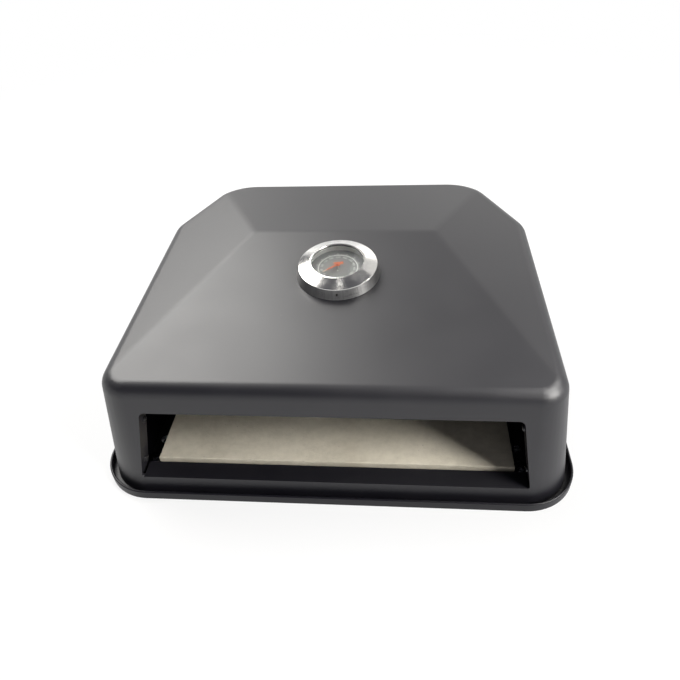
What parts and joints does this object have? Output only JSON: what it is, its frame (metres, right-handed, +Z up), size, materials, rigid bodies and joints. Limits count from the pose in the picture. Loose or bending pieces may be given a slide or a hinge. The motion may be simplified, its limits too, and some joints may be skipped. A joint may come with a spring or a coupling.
{
  "type": "outdoor pizza oven",
  "caption": "Grill-top pizza oven: black hipped steel hood with a wide low mouth on a shallow base pan, a loose stone inside and a dial thermometer on top.",
  "frame": {"origin": "on the surface the pan stands on, under the middle of the pan", "axes": "+X to the right seen from the mouth, -Y out of the mouth, +Z up"},
  "size_m": [0.4, 0.358, 0.139],
  "materials": {
    "black_coating": "semi-matt heat-resistant coating",
    "bracket_coating": "matt heat-resistant coating",
    "cordierite_stone": "fired, matt, slightly mottled",
    "zinc_steel": "bright zinc plate",
    "black_screw": "blackened",
    "heat_gasket": "matt",
    "case_steel": "satin",
    "polished_steel": "polished",
    "window_glass": "clear",
    "dial_print": "printed dial",
    "pointer_red": "satin",
    "brass": "plain"
  },
  "bodies": {
    "oven": {"base_pan": "black_coating", "hood_shell": "black_coating", "stone_rail_right": "bracket_coating", "stone_rail_left": "bracket_coating", "jamb_bracket_right": "bracket_coating", "jamb_bracket_left": "bracket_coating", "rear_bracket_right": "bracket_coating", "rear_bracket_left": "bracket_coating", "floor_screws": "zinc_steel", "floor_nuts": "zinc_steel", "jamb_nuts": "zinc_steel", "wall_nuts": "zinc_steel", "jamb_screws": "black_screw", "wall_screws": "black_screw", "gauge_gasket": "heat_gasket", "lens_seal": "heat_gasket", "gauge_case": "case_steel", "bezel_ring": "polished_steel", "lens": "window_glass", "dial_plate": "dial_print", "mounting_boss": "brass", "probe_tube": "case_steel", "bimetal_coil": "brass", "clamp_washer": "zinc_steel", "clamp_nut": "brass"},
    "stone": {"pizza_stone": "cordierite_stone"},
    "needle": {"pointer": "pointer_red", "pointer_shaft": "case_steel"}
  },
  "joints": [
    {"name": "stone_lift", "type": "slide", "parent": "oven", "child": "stone", "axis": [0, 0, 1], "range_m": [0, 0.04]},
    {"name": "needle_turn", "type": "hinge", "parent": "oven", "child": "needle", "pos_m": [0, -0.0208, 0.1225], "axis": [0, -0.1057, 0.9944], "range_deg": [-250, 0], "stiffness_Nm_per_rad": 0.0005}
  ]
}
